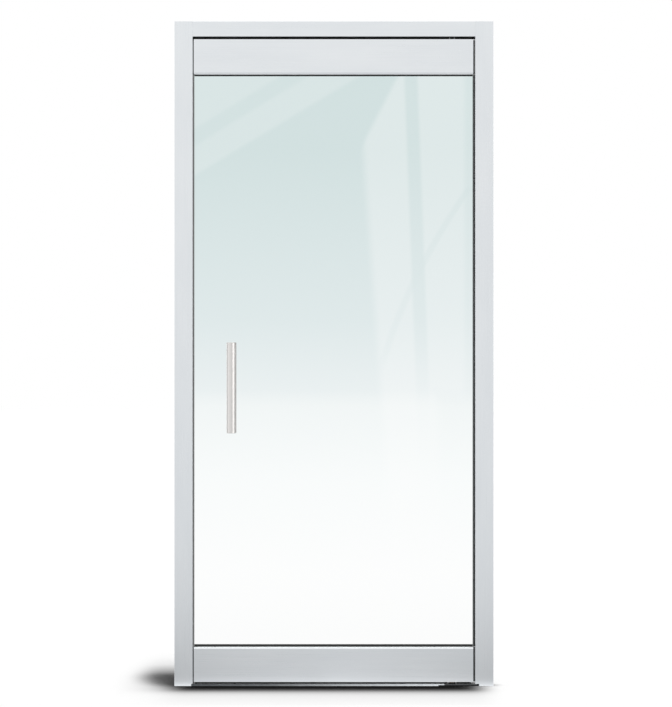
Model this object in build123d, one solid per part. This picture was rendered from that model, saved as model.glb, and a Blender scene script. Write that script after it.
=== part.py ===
"""Glass door leaf with top and bottom door rails, hung on centre pivots in a three-sided aluminium frame.

Millimetres. The origin is on the floor under the middle of the frame. +X runs from the free edge to the
pivot edge, +Y away from the viewer and +Z up. The leaf is shut.
"""
from build123d import *
import os

os.makedirs("parts", exist_ok=True)

# Frame
overall_width = 1056.0
overall_height = 2200.0
frame_depth = 60.0
jamb_face = 60.0
header_face = 50.0
frame_wall = 3.0
frame_corner_radius = 0.8

# Seal groove in the frame, and the pile strip that slides into it
groove_lip = 1.5
groove_depth = 3.2
groove_slot = 5.0
groove_pocket = 8.0
groove_wall = 1.8
pile_base_thickness = 1.2
pile_base_width = 7.4
pile_root_width = 4.4
pile_tip_width = 3.2
pile_clearance = 0.6

# How far a cutter runs past the face it opens, and how far joined pieces reach into each other
past = 1.0
bury = 0.5

# Gaps round the leaf
strike_gap = 3.5
pivot_gap = 6.5
header_gap = 8.0
floor_gap = 12.0

# Leaf
pivot_inset = 70.0
rail_height = 117.0
rail_thickness = 44.0
glass_thickness = 12.0
glass_bite = 50.0
glass_edge_inset = 0.5
glass_arris = 1.0

# Rail extrusion
cover_thickness = 2.5
cover_corner_radius = 1.2
pocket_wall = 3.5
pocket_depth = 56.0
web_thickness = 4.0
chamber_wall = 4.0
lip_thickness = 2.5
lip_inner = 13.9
lip_setback = 5.0
clip_arm = 8.0
clip_arm_thickness = 2.5
clip_lip_width = 1.6
clip_play = 0.4
barb_width = 1.6
cover_return_inner = 10.0
cover_slot_inner = 12.0
cover_barb_width = 1.5
cover_barb_height = 4.5
port_bore = 1.9
port_wall = 1.7
port_offset = 10.5
port_slot = 2.2

# Glazing
gasket_thickness = 2.0
bottom_gasket_head = 7.0
top_gasket_head = 4.5
gasket_head_slope = 1.0
gasket_head_overhang = 0.8
gasket_depth = 44.0
gasket_neck_play = 0.2
clamp_strip_thickness = 3.0
clamp_strip_width = 36.0
clamp_play = 0.5
clamp_screw_radius = 3.0
clamp_screw_count = 6
clamp_screw_margin = 80.0
setting_block_length = 80.0
setting_block_margin = 120.0
setting_block_play = 0.2

# End caps
end_cap_thickness = 2.0
end_cap_notch_play = 0.5
end_cap_rib_thickness = 2.2
end_cap_rib_depth = 3.0
end_cap_rib_from = 76.0
end_cap_rib_to = 100.0
end_cap_screw_length = 14.0
nib_width = 4.0
nib_clearance = 0.6
nib_end_gap = 1.0

# Blocks and strips that slide into the rails
slide_play = 0.2
block_length = 135.0
block_end_gap = 5.0
block_top = 70.0
block_screw_spread = 45.0
block_screw_height = 90.0
block_screw_length = 14.0
block_screw_hole = 12.0
carrier_flange = 3.4
carrier_end_gap = 0.5
land_recess = 1.0
brush_slot = 3.2
brush_pocket = 7.2
brush_pocket_depth = 2.6
brush_lip = 1.4
brush_width = 2.6
brush_clearance = 0.6
brush_break = 15.0

# Top pivot
top_pin_radius = 7.5
top_pin_reach = 24.0
top_pin_head_radius = 12.0
top_pin_head = 6.0
pin_end_chamfer = 1.0
top_plate_length = 90.0
top_plate_thickness = 8.0
top_plate_screw_x = 30.0
top_plate_screw_y = 17.0
fixed_fit = 0.02
running_clearance = 0.05
bush_wall = 2.5
header_pin_hole_play = 1.0
pile_pin_play = 0.5
relief_play = 0.4

# Bottom pivot and threshold
threshold_thickness = 6.0
threshold_chamfer = 1.0
floor_plate_reach = 25.5
floor_plate_corner = 12.0
floor_plate_hole_radius = 3.5
floor_plate_hole_y = 20.0
floor_plate_hole_inset = 14.0
threshold_screw_inset = 138.0
lap_length = 20.0
lap_play = 0.3
lap_screw_y = 16.0
lap_screw_end = 0.4
spindle_radius = 7.0
spindle_collar_radius = 12.0
spindle_collar_height = 3.0
spindle_reach = 32.0
thrust_washer_thickness = 1.5
boss_radius = 11.0
blind_play = 2.0
tongue_width = 36.0
tongue_length = 27.0
notch_height = 7.0
strike_notch = 4.0
pivot_notch = 12.0
notch_play = 0.5
cleat_height = 46.0
cleat_leg = 6.0
cleat_wall = 5.0
cleat_reach = 30.0
cleat_screw_y = 12.0
cleat_screw_z = 32.0
cleat_tongue_screw = 12.0
screw_end = 1.0

# Header ports and frame anchors
header_port_bore = 2.4
header_port_wall = 2.0
header_port_y = 21.5
header_port_heights = (20.0, 38.0)
header_port_neck = 3.0
header_port_slot = 2.6
header_screw_length = 28.0
header_screw_head_radius = 4.75
header_screw_head = 3.2
header_screw_hole_play = 0.4
access_hole_radius = 7.0
anchor_hole_radius = 4.25
anchor_y = 15.0
anchor_inset = 250.0

# Pull handles
pull_length = 300.0
pull_radius = 15.0
pull_wall = 2.0
pull_post_inset = 50.0
pull_post_radius = 10.0
pull_stand_off = 50.0
pull_inset = 124.5
pull_centre_height = 987.0
pull_plug_thickness = 2.0
pull_plug_depth = 6.0
pull_edge_chamfer = 0.6
pull_spigot_radius = 6.0
pull_spigot_stand = 0.5
glass_hole_radius = 7.0
bush_flange_thickness = 1.0
bush_play = 0.2
through_bolt_radius = 4.0
through_bolt_half = 25.0
through_bolt_play = 2.0
grub_radius = 2.5
grub_length = 5.0
grub_stand_off = 10.0
saddle_play = 0.05

# Countersunk screws: shank radius, head radius, head height
M4 = (2.0, 3.8, 2.2)
M5 = (2.5, 4.8, 2.5)
M6 = (3.0, 5.8, 3.0)
end_cap_screw = (1.85, 3.5, 1.7)
floor_screw = (2.75, 5.2, 2.6)
screw_fit = 0.03
screw_head_land = 0.2
drive_depth = 1.2
drive_share = 0.42

# Places that follow from the sizes above
half_width = overall_width / 2
opening_half = half_width - jamb_face
header_underside = overall_height - header_face
leaf_free_edge = -opening_half + strike_gap
leaf_pivot_edge = opening_half - pivot_gap
leaf_bottom = floor_gap
leaf_top = header_underside - header_gap
pivot_x = leaf_pivot_edge - pivot_inset
rail_start = leaf_free_edge + end_cap_thickness
rail_end = leaf_pivot_edge - end_cap_thickness
rail_half = rail_thickness / 2
channel_half = rail_half - cover_thickness
glass_half = glass_thickness / 2
bottom_glass_line = leaf_bottom + rail_height
top_glass_line = leaf_top - rail_height
pocket_front = -(glass_half + gasket_thickness)
pocket_back = glass_half + gasket_thickness + clamp_strip_thickness + clamp_play
web_end = pocket_depth + web_thickness
lip_end = rail_height - lip_setback
lip_start = lip_end - lip_thickness
chamber_half = channel_half - chamber_wall
rail_shoulder_radius = min(clip_arm, rail_half - pocket_back - pocket_wall)
block_end = rail_end - block_end_gap
block_start = block_end - block_length
plug_radius = pull_radius - pull_wall
floor_plate_start = pivot_x - floor_plate_reach
floor_plate_end = opening_half + pivot_notch
threshold_screw_x = (-opening_half + threshold_screw_inset, floor_plate_start - threshold_screw_inset)
anchor_heights = (anchor_inset, overall_height / 2, overall_height - anchor_inset)
pull_x = leaf_free_edge + pull_inset


def span(u0, u1, v0, v1):
    """Rectangle between two corners."""
    return Pos((u0 + u1) / 2, (v0 + v1) / 2) * Rectangle(abs(u1 - u0), abs(v1 - v0))


def rounded_span(u0, u1, v0, v1, radius):
    """Rectangle between two corners, with rounded corners."""
    return Pos((u0 + u1) / 2, (v0 + v1) / 2) * RectangleRounded(abs(u1 - u0), abs(v1 - v0), radius)


def outline(*points):
    """Closed straight-sided outline."""
    return make_face(Polyline(*points, close=True))


def mirrored(face):
    """A profile and its mirror image in the v axis."""
    return face + mirror(face, Plane.XZ)


def rod(start, direction, radius, length):
    """Round bar from a point along a direction."""
    return Plane(origin=start, z_dir=direction) * Cylinder(
        radius, length, align=(Align.CENTER, Align.CENTER, Align.MIN)
    )


def ring(start, direction, outer, inner, length):
    """Round tube from a point along a direction."""
    return rod(start, direction, outer, length) - rod(start, direction, inner, length)


def countersink(start, direction, screw, length, play=0.0):
    """Space of a countersunk screw whose head is flush at the start point."""
    shank, head, height = (size + play for size in screw)
    land = screw_head_land
    profile = outline((0, 0), (head, 0), (head, land), (shank, height), (shank, length), (0, length))
    return Plane(origin=start, z_dir=direction) * revolve(Plane.XZ * profile, Axis.Z)


def countersunk_screw(start, direction, screw, length):
    """Countersunk screw with a hexagon drive."""
    body = countersink(start, direction, screw, length)
    drive = extrude(RegularPolygon(screw[1] * drive_share, 6), amount=drive_depth)
    return body - Plane(origin=start, z_dir=direction) * drive


def save(shape, node):
    """Write one node's file."""
    export_step(shape, f"parts/{node}.step")


def group(*pieces):
    """Separate solids kept under one node."""
    return Compound(children=list(pieces))


# Frame extrusions

def tube_section(face):
    """Hollow extrusion. u runs from its wall side to its leaf side, v across its depth."""
    half = frame_depth / 2
    outer = rounded_span(0, face, -half, half, frame_corner_radius)
    hollow = span(frame_wall, face - frame_wall, -half + frame_wall, half - frame_wall)
    boss_half = groove_pocket / 2 + groove_wall
    boss = span(face - groove_depth - groove_wall, face - frame_wall / 2, -boss_half, boss_half)
    slot = span(face - groove_lip, face + past, -groove_slot / 2, groove_slot / 2)
    pocket = span(face - groove_depth, face - groove_lip, -groove_pocket / 2, groove_pocket / 2)
    return outer - hollow + boss - slot - pocket


def jamb_plane(side):
    """side is -1 at the free edge and +1 at the pivot edge. u runs towards the leaf."""
    return Plane(origin=(side * half_width, 0, 0), x_dir=(-side, 0, 0), z_dir=(0, 0, 1))


def header_port_centres():
    """Places of the four screw ports, as height and depth."""
    heights = [header_underside + rise for rise in header_port_heights]
    return [(z, y) for z in heights for y in (-header_port_y, header_port_y)]


def header_section():
    """Tube with four screw ports, each on a neck from the front or back wall and open towards the middle."""
    section = tube_section(header_face)
    wall_inside = frame_depth / 2 - frame_wall
    for z, y in header_port_centres():
        u = overall_height - z
        way = 1 if y > 0 else -1
        section += Pos(u, y) * Circle(header_port_bore + header_port_wall)
        neck = header_port_neck / 2
        section += span(u - neck, u + neck, y + way * header_port_bore, way * wall_inside)
        section -= Pos(u, y) * Circle(header_port_bore)
        slot = header_port_slot / 2
        section -= span(u - slot, u + slot, y, y - way * 2 * header_port_bore)
    return section


def make_jamb(side, notch):
    """Jamb with anchor holes, header screw holes and a notched foot."""
    jamb = extrude(jamb_plane(side) * tube_section(jamb_face), amount=overall_height)
    wall_face = side * half_width
    leaf_face = side * opening_half
    outwards = (side, 0, 0)
    leaf_start = leaf_face - side * past
    wall_start = wall_face - side * (frame_wall + past)
    through = frame_wall + 2 * past
    for z in anchor_heights:
        for y in (-anchor_y, anchor_y):
            jamb -= rod((leaf_start, y, z), outwards, access_hole_radius, through)
            jamb -= rod((wall_start, y, z), outwards, anchor_hole_radius, through)
    for z, y in header_port_centres():
        jamb -= rod((leaf_start, y, z), outwards, header_port_bore + header_screw_hole_play, through)
        jamb -= rod((wall_start, y, z), outwards, access_hole_radius, through)
    for y in (-cleat_screw_y, cleat_screw_y):
        jamb -= countersink((leaf_face, y, cleat_screw_z), outwards, M5, cleat_wall * 2, screw_fit)
    notch_width = notch + notch_play
    jamb -= Pos(leaf_face, 0, 0) * Box(notch_width * 2, frame_depth + 2 * past, notch_height * 2)
    tongue_way = 2 * (groove_depth + groove_wall + notch_play)
    return jamb - Pos(leaf_face, 0, 0) * Box(tongue_way, tongue_width + 2 * notch_play, notch_height * 2)


def make_pile(height, length):
    """Pile strip standing on its backing. u runs from the backing to the tip, and it is extruded upwards."""
    root = pile_root_width / 2
    tip = pile_tip_width / 2
    strip = span(0, pile_base_thickness, -pile_base_width / 2, pile_base_width / 2)
    strip += outline((pile_base_thickness, -root), (height, -tip), (height, tip), (pile_base_thickness, root))
    return extrude(strip, amount=length)


def jamb_pile(side, gap, low, high):
    proud = gap - pile_clearance
    place = Plane(
        origin=(side * (opening_half + groove_depth), 0, low), x_dir=(-side, 0, 0), z_dir=(0, 0, 1)
    )
    return place * make_pile(groove_depth + proud, high - low)


def header_pile():
    """Two cut lengths, one each side of the top pivot pin."""
    height = groove_depth + header_gap - pile_clearance
    pin_way = top_pin_radius + pile_pin_play
    pieces = []
    for low, high in ((-opening_half, pivot_x - pin_way), (pivot_x + pin_way, opening_half)):
        place = Plane(origin=(low, 0, header_underside + groove_depth), x_dir=(0, 0, -1), z_dir=(1, 0, 0))
        pieces.append(place * make_pile(height, high - low))
    return group(*pieces)


def make_header():
    plane = Plane(origin=(-opening_half, 0, overall_height), x_dir=(0, 0, -1), z_dir=(1, 0, 0))
    header = extrude(plane * header_section(), amount=2 * opening_half)
    hole = top_pin_radius + header_pin_hole_play
    low = header_underside - past
    header -= rod((pivot_x, 0, low), (0, 0, 1), hole, groove_depth + groove_wall + 2 * past)
    for x, y in top_plate_screws():
        header -= countersink((x, y, header_underside), (0, 0, 1), M5, frame_wall * 2, screw_fit)
    return header


def header_screws():
    screws = []
    for side in (-1, 1):
        seat = side * (opening_half + frame_wall)
        for z, y in header_port_centres():
            shank_radius = header_port_bore - running_clearance
            shank = rod((seat, y, z), (-side, 0, 0), shank_radius, header_screw_length)
            head = rod((seat, y, z), (side, 0, 0), header_screw_head_radius, header_screw_head)
            screws.append(shank + head)
    return group(*screws)


# Top pivot

def top_plate_screws():
    return [
        (pivot_x + sx * top_plate_screw_x, sy * top_plate_screw_y) for sx in (-1, 1) for sy in (-1, 1)
    ]


def relief_half():
    """Half width of the relief that clears the seal groove's boss."""
    return groove_pocket / 2 + groove_wall + relief_play


def relief_depth():
    """How far that boss stands into the tube, with play."""
    return groove_depth + groove_wall - frame_wall + relief_play


def make_top_pivot_plate():
    """Backing plate on the inside of the header's underside, relieved over the seal groove."""
    inner_half = frame_depth / 2 - frame_wall - slide_play
    section = span(0, top_plate_thickness, -inner_half, inner_half)
    section -= span(-past, relief_depth(), -relief_half(), relief_half())
    low = header_underside + frame_wall
    plane = Plane(origin=(pivot_x + top_plate_length / 2, 0, low), x_dir=(0, 0, 1), z_dir=(-1, 0, 0))
    plate = extrude(plane * section, amount=top_plate_length)
    through = top_plate_thickness + 2 * past
    plate -= rod((pivot_x, 0, low - past), (0, 0, 1), top_pin_radius + fixed_fit, through)
    for x, y in top_plate_screws():
        plate -= rod((x, y, low - past), (0, 0, 1), M5[0] + screw_fit, through)
    return plate


def make_top_pivot_pin():
    """Pin whose head rests on the plate and whose chamfered end reaches into the leaf's bush."""
    seat = header_underside + frame_wall + top_plate_thickness
    end = leaf_top - top_pin_reach
    pin = rod((pivot_x, 0, end), (0, 0, 1), top_pin_radius, seat - end)
    pin = chamfer(pin.edges().sort_by(Axis.Z)[0], pin_end_chamfer)
    return pin + rod((pivot_x, 0, seat), (0, 0, 1), top_pin_head_radius, top_pin_head)


def top_pivot_screws():
    length = frame_wall + top_plate_thickness - screw_end
    return group(
        *(countersunk_screw((x, y, header_underside), (0, 0, 1), M5, length) for x, y in top_plate_screws())
    )


# Bottom pivot and threshold

def make_floor_pivot_plate():
    """Plate with a lap under the threshold's end and a tongue inside the jamb's foot."""
    half = frame_depth / 2
    end = floor_plate_end
    body = span(floor_plate_start, end, -half, half)
    body = fillet(body.vertices().group_by(Axis.X)[-1], floor_plate_corner)
    body += span(end - floor_plate_corner, opening_half + tongue_length, -tongue_width / 2, tongue_width / 2)
    plate = extrude(body, amount=threshold_thickness)
    lap = span(floor_plate_start - lap_length, floor_plate_start, -half, half)
    plate += extrude(lap, amount=threshold_thickness / 2)
    for x in (floor_plate_start + floor_plate_hole_inset, opening_half - floor_plate_hole_inset):
        for y in (-floor_plate_hole_y, floor_plate_hole_y):
            plate -= rod((x, y, -past), (0, 0, 1), floor_plate_hole_radius, threshold_thickness + 2 * past)
    for x, y in lap_screw_places():
        plate -= countersink((x, y, 0), (0, 0, 1), M4, threshold_thickness, screw_fit)
    x, y = tongue_screw_place(1)
    return plate - countersink((x, y, 0), (0, 0, 1), M5, threshold_thickness * 2, screw_fit)


def lap_screw_places():
    return [(floor_plate_start - lap_length / 2, y) for y in (-lap_screw_y, lap_screw_y)]


def tongue_screw_place(side):
    return side * (opening_half + tongue_length - cleat_tongue_screw), 0


def make_threshold():
    """Strip with eased top edges, a tongue inside the strike jamb and a rebate over the pivot plate's lap."""
    half = frame_depth / 2
    start = -opening_half - strike_notch
    end = floor_plate_start - lap_play
    profile = span(-half, half, 0, threshold_thickness)
    profile = chamfer(profile.vertices().group_by(Axis.Y)[-1], threshold_chamfer)
    plane = Plane(origin=(start, 0, 0), x_dir=(0, 1, 0), z_dir=(1, 0, 0))
    strip = extrude(plane * profile, amount=end - start)
    tongue = span(-opening_half - tongue_length, start + bury, -tongue_width / 2, tongue_width / 2)
    strip += extrude(tongue, amount=threshold_thickness)
    rebate = span(floor_plate_start - lap_length - lap_play, end + past, -half - past, half + past)
    strip -= extrude(rebate, amount=threshold_thickness / 2)
    for x, y in lap_screw_places():
        strip -= rod((x, y, 0), (0, 0, 1), M4[0] + screw_fit, threshold_thickness + past)
    for x in threshold_screw_x:
        strip -= countersink((x, 0, threshold_thickness), (0, 0, -1), floor_screw, threshold_thickness * 2)
    x, y = tongue_screw_place(-1)
    return strip - countersink((x, y, 0), (0, 0, 1), M5, threshold_thickness * 2, screw_fit)


def lap_screws():
    length = threshold_thickness - lap_screw_end
    return group(*(countersunk_screw((x, y, 0), (0, 0, 1), M4, length) for x, y in lap_screw_places()))


def threshold_screws():
    length = threshold_thickness + cleat_leg - screw_end
    places = [tongue_screw_place(side) for side in (-1, 1)]
    return group(*(countersunk_screw((x, y, 0), (0, 0, 1), M5, length) for x, y in places))


def make_cleat(side):
    """Angle inside the jamb's foot, relieved over the seal groove, above the tongue."""
    low = threshold_thickness
    inside = frame_wall
    width = tongue_width
    profile = span(inside, inside + cleat_reach, low, low + cleat_leg)
    profile += span(inside, inside + cleat_wall, low, cleat_height)
    plane = Plane(origin=(side * opening_half, 0, 0), x_dir=(side, 0, 0), z_dir=(0, -side, 0))
    cleat = extrude(plane * profile, amount=width / 2, both=True)
    relief = Box(2 * (frame_wall + relief_depth()), 2 * relief_half(), 2 * (cleat_height + past))
    cleat -= Pos(side * opening_half, 0, 0) * relief
    x, y = tongue_screw_place(side)
    cleat -= rod((x, y, 0), (0, 0, 1), M5[0] + screw_fit, cleat_height)
    for y in (-cleat_screw_y, cleat_screw_y):
        cleat -= rod((side * opening_half, y, cleat_screw_z), (side, 0, 0), M5[0] + screw_fit, cleat_reach)
    return cleat


def cleat_screws():
    length = frame_wall + cleat_wall + screw_end
    screws = []
    for side in (-1, 1):
        for y in (-cleat_screw_y, cleat_screw_y):
            head = (side * opening_half, y, cleat_screw_z)
            screws.append(countersunk_screw(head, (side, 0, 0), M5, length))
    return group(*screws)


def make_spindle():
    """Turned spindle: a collar on the plate and a chamfered pin."""
    collar = rod((pivot_x, 0, threshold_thickness), (0, 0, 1), spindle_collar_radius, spindle_collar_height)
    base = threshold_thickness + spindle_collar_height
    pin = rod((pivot_x, 0, base), (0, 0, 1), spindle_radius, leaf_bottom + spindle_reach - base)
    pin = chamfer(pin.edges().sort_by(Axis.Z)[-1], pin_end_chamfer)
    return collar + pin


def bottom_flange_height():
    return threshold_thickness + spindle_collar_height + thrust_washer_thickness


def make_thrust_washer():
    base = threshold_thickness + spindle_collar_height
    bore = spindle_radius + running_clearance
    return ring((pivot_x, 0, base), (0, 0, 1), spindle_collar_radius, bore, thrust_washer_thickness)


def make_bottom_bush():
    """Flanged bearing bush: its flange runs on the thrust washer and carries the leaf."""
    low = bottom_flange_height()
    bore = spindle_radius + running_clearance
    outer = spindle_radius + bush_wall
    length = leaf_bottom + spindle_reach + blind_play - low
    bush = ring((pivot_x, 0, low), (0, 0, 1), outer, bore, length)
    return bush + ring((pivot_x, 0, low), (0, 0, 1), boss_radius, bore, leaf_bottom - low)


def make_top_bush():
    bore = top_pin_radius + running_clearance
    outer = top_pin_radius + bush_wall
    low = leaf_top - top_pin_reach - blind_play
    return ring((pivot_x, 0, low), (0, 0, 1), outer, bore, leaf_top - land_recess - low)


# Door rails. u runs from the glass line outwards and v is the depth, both for the bottom and the top rail.

def rail_plane(which, x):
    """which is -1 for the bottom rail and +1 for the top rail. The normal is along X."""
    height = bottom_glass_line if which < 0 else top_glass_line
    return Plane(origin=(x, 0, height), x_dir=(0, 0, which), z_dir=(-which, 0, 0))


def along_rail(profile, which, low, high):
    """Extrude a rail profile from the x place low to the x place high."""
    start = low if which < 0 else high
    return extrude(rail_plane(which, start) * profile, amount=high - low)


def rail_point(which, x, u, v):
    height = bottom_glass_line if which < 0 else top_glass_line
    return (x, v, height + which * u)


def rail_outline():
    """Outside of a whole rail, with round shoulders next to the glass and eased corners at its far side."""
    blank = span(0, rail_height, -rail_half, rail_half)
    blank = fillet(blank.vertices().group_by(Axis.X)[0], rail_shoulder_radius)
    return fillet(blank.vertices().group_by(Axis.X)[-1], cover_corner_radius)


def channel_ports():
    """Places of the end caps' screw ports."""
    return [(web_end + port_bore + port_wall / 2, side * port_offset) for side in (-1, 1)]


def channel_section():
    """Extrusion that grips the glass above its web and holds the pivot block below it."""
    inner_top = cover_thickness
    front = span(inner_top, pocket_depth, pocket_front - pocket_wall, pocket_front)
    back = span(inner_top, pocket_depth, pocket_back, pocket_back + pocket_wall)
    web = span(pocket_depth, web_end, -channel_half, channel_half)
    wall = span(web_end, lip_end, chamber_half, channel_half)
    lip = span(lip_start, lip_end, lip_inner, channel_half)
    section = front + back + web + mirrored(wall + lip)
    arm_end = clip_arm + clip_arm_thickness
    hook_inner = channel_half - clip_lip_width
    for wall_face, way in ((pocket_front - pocket_wall, -1), (pocket_back + pocket_wall, 1)):
        section += span(clip_arm, arm_end, wall_face, way * channel_half)
        section += span(clip_arm, arm_end + clip_arm_thickness, way * hook_inner, way * channel_half)
    for u, v in channel_ports():
        section += Pos(u, v) * Circle(port_bore + port_wall)
        section -= Pos(u, v) * Circle(port_bore)
        section -= span(u, u + port_bore + port_wall, v - port_slot / 2, v + port_slot / 2)
    return section


def cover_section(way):
    """Snap-on cover, as thick in its shoulder as elsewhere. way is -1 in front and +1 behind."""
    half = span(-past, rail_height + past, way * cover_slot_inner, way * (rail_half + past))
    hollow = span(cover_thickness, rail_height - cover_thickness, -channel_half, channel_half)
    inner_radius = rail_shoulder_radius - cover_thickness
    hollow = fillet(hollow.vertices().group_by(Axis.X)[0], inner_radius)
    section = (rail_outline() & half) - hollow
    section += span(0, cover_thickness, way * cover_return_inner, way * (cover_slot_inner + bury))
    barb_u = rail_height - cover_thickness
    barb_inner = cover_slot_inner + cover_barb_width
    section += span(barb_u - cover_barb_height, barb_u + bury, way * cover_slot_inner, way * barb_inner)
    hook_end = clip_arm + 2 * clip_arm_thickness
    leg_u = hook_end + clip_play
    barb_v = channel_half - clip_lip_width - clip_play
    leg_inner = barb_v - barb_width
    section += span(leg_u, leg_u + barb_width, way * leg_inner, way * (channel_half + bury))
    barb_from = clip_arm + clip_arm_thickness + clip_play
    section += span(barb_from, leg_u + barb_width / 2, way * leg_inner, way * barb_v)
    return section


def gasket_section(which, way):
    """Wedge gasket: a sloped head over the cover's edge, a neck, and a liner along the glass."""
    head_height = bottom_gasket_head if which < 0 else top_gasket_head
    neck = cover_return_inner - gasket_neck_play
    head = outline(
        (0, way * glass_half),
        (-head_height, way * glass_half),
        (gasket_head_slope - head_height, way * (glass_half + gasket_thickness)),
        (0, way * (cover_return_inner + gasket_head_overhang)),
    )
    section = head + span(0, cover_thickness, way * glass_half, way * neck)
    liner = glass_half + gasket_thickness
    return section + span(cover_thickness, gasket_depth, way * glass_half, way * liner)


def clamp_screw_places():
    step = (rail_end - rail_start - 2 * clamp_screw_margin) / (clamp_screw_count - 1)
    return [rail_start + clamp_screw_margin + step * i for i in range(clamp_screw_count)]


def clamp_middle():
    return gasket_depth - clamp_strip_width / 2


def block_screw_places():
    return [(pivot_x + sx * block_screw_spread, sy) for sx in (-1, 1) for sy in (-1, 1)]


def make_channel(which):
    channel = along_rail(channel_section(), which, rail_start, rail_end)
    for x in clamp_screw_places():
        point = rail_point(which, x, clamp_middle(), pocket_back - past)
        channel -= rod(point, (0, 1, 0), clamp_screw_radius + fixed_fit, pocket_wall + 2 * past)
    for x, side in block_screw_places():
        point = rail_point(which, x, block_screw_height, side * channel_half)
        channel -= countersink(point, (0, -side, 0), M6, chamber_wall * 2, screw_fit)
    return channel


def make_cover(which, way):
    return along_rail(cover_section(way), which, rail_start, rail_end)


def make_gasket(which, way):
    return along_rail(gasket_section(which, way), which, rail_start, rail_end)


def make_clamp_strip(which):
    inner = glass_half + gasket_thickness
    low = gasket_depth - clamp_strip_width
    profile = span(low, gasket_depth, inner, inner + clamp_strip_thickness)
    return along_rail(profile, which, rail_start, rail_end)


def clamp_screws(which):
    start = glass_half + gasket_thickness + clamp_strip_thickness
    length = pocket_back + pocket_wall - start
    screws = []
    for x in clamp_screw_places():
        screw = rod(rail_point(which, x, clamp_middle(), start), (0, 1, 0), clamp_screw_radius, length)
        drive = extrude(RegularPolygon(clamp_screw_radius * drive_share, 6), amount=drive_depth)
        point = rail_point(which, x, clamp_middle(), start + length)
        screws.append(screw - Plane(origin=point, z_dir=(0, -1, 0)) * drive)
    return group(*screws)


def make_end_cap(which, side):
    """Cap notched round the glass, with two ribs inside the channel. side is -1 at the free edge."""
    notch_half = glass_half + end_cap_notch_play
    profile = rail_outline() - span(-past, glass_bite + end_cap_notch_play, -notch_half, notch_half)
    inner = rail_start if side < 0 else rail_end
    outer = inner + side * end_cap_thickness
    cap = along_rail(profile, which, min(inner, outer), max(inner, outer))
    rib_outer = chamber_half - slide_play
    rib = mirrored(span(end_cap_rib_from, end_cap_rib_to, rib_outer - end_cap_rib_thickness, rib_outer))
    rib_end = inner - side * end_cap_rib_depth
    cap += along_rail(rib, which, min(inner, rib_end), max(inner, rib_end))
    for u, v in channel_ports():
        place = rail_point(which, outer, u, v)
        cap -= countersink(place, (-side, 0, 0), end_cap_screw, end_cap_screw_length, screw_fit)
    return cap + end_nib(which) if side > 0 else cap


def end_nib(which):
    """Round-nosed nib down the middle of the pivot end, which closes the gap and clears its own swing."""
    radius = nib_width / 2
    root = rail_end + end_cap_thickness
    nose = opening_half - nib_clearance - radius
    profile = span(root, nose, -radius, radius) + Pos(nose, 0) * Circle(radius)
    ends = [leaf_bottom, bottom_glass_line] if which < 0 else [top_glass_line, leaf_top]
    low, high = ends[0] + nib_end_gap, ends[1] - nib_end_gap
    return extrude(Plane(origin=(0, 0, low)) * profile, amount=high - low)


def end_cap_screws():
    screws = []
    for which in (-1, 1):
        for side in (-1, 1):
            outer = (rail_start if side < 0 else rail_end) + side * end_cap_thickness
            for u, v in channel_ports():
                place = rail_point(which, outer, u, v)
                screws.append(countersunk_screw(place, (-side, 0, 0), end_cap_screw, end_cap_screw_length))
    return group(*screws)


def slide_profile(u_from):
    """Section that fills the chamber, rests on its lips and stands in the slot."""
    half = chamber_half - slide_play
    body = span(u_from, lip_start, -half, half)
    land_half = cover_slot_inner - slide_play
    return body + span(lip_start, rail_height - land_recess, -land_half, land_half)


def make_block(which, bush_outer, boss_end, bore_low, bore_high):
    """Pivot block with a round boss and the bore of its bush."""
    block = along_rail(slide_profile(block_top), which, block_start, block_end)
    land_end = leaf_bottom + land_recess if which < 0 else leaf_top - land_recess
    if boss_end != land_end:
        low, high = min(boss_end, land_end), max(boss_end, land_end)
        block += rod((pivot_x, 0, low), (0, 0, 1), boss_radius, high - low)
    block -= rod((pivot_x, 0, bore_low), (0, 0, 1), bush_outer + fixed_fit, bore_high - bore_low)
    for x, side in block_screw_places():
        point = rail_point(which, x, block_screw_height, side * (chamber_half + past))
        block -= rod(point, (0, -side, 0), M6[0] + screw_fit, block_screw_hole)
    if which < 0:
        block -= along_rail(sweep_groove(), -1, block_start - past, pivot_x - brush_break)
        block -= along_rail(sweep_groove(), -1, pivot_x + brush_break, block_end + past)
    return block


def block_screws(which):
    screws = []
    for x, side in block_screw_places():
        point = rail_point(which, x, block_screw_height, side * channel_half)
        screws.append(countersunk_screw(point, (0, -side, 0), M6, block_screw_length))
    return group(*screws)


def make_filler():
    """Strip that closes the slot on top of the top rail."""
    profile = slide_profile(lip_start - carrier_flange)
    return along_rail(profile, 1, rail_start, block_start - carrier_end_gap)


def sweep_groove():
    """Space for the brush in the strip and in the bottom pivot block."""
    low = rail_height - land_recess
    pocket_end = low - brush_lip
    groove = span(pocket_end - brush_pocket_depth, pocket_end, -brush_pocket / 2, brush_pocket / 2)
    return groove + span(pocket_end, low + past, -brush_slot / 2, brush_slot / 2)


def make_sweep_carrier():
    """The same strip under the bottom rail, with a groove for the brush."""
    profile = slide_profile(lip_start - carrier_flange) - sweep_groove()
    return along_rail(profile, -1, rail_start, block_start - carrier_end_gap)


def make_sweep_brush():
    """Two lengths, which leave the bottom pivot free."""
    pocket_end = rail_height - land_recess - brush_lip
    base_half = brush_pocket / 2 - slide_play
    base = span(pocket_end - brush_pocket_depth, pocket_end - slide_play, -base_half, base_half)
    tip = bottom_glass_line - threshold_thickness - brush_clearance
    brush = base + span(pocket_end - slide_play, tip, -brush_width / 2, brush_width / 2)
    ends = ((rail_start, pivot_x - brush_break), (pivot_x + brush_break, block_end))
    return group(*(along_rail(brush, -1, low, high) for low, high in ends))


# Glass

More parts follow.
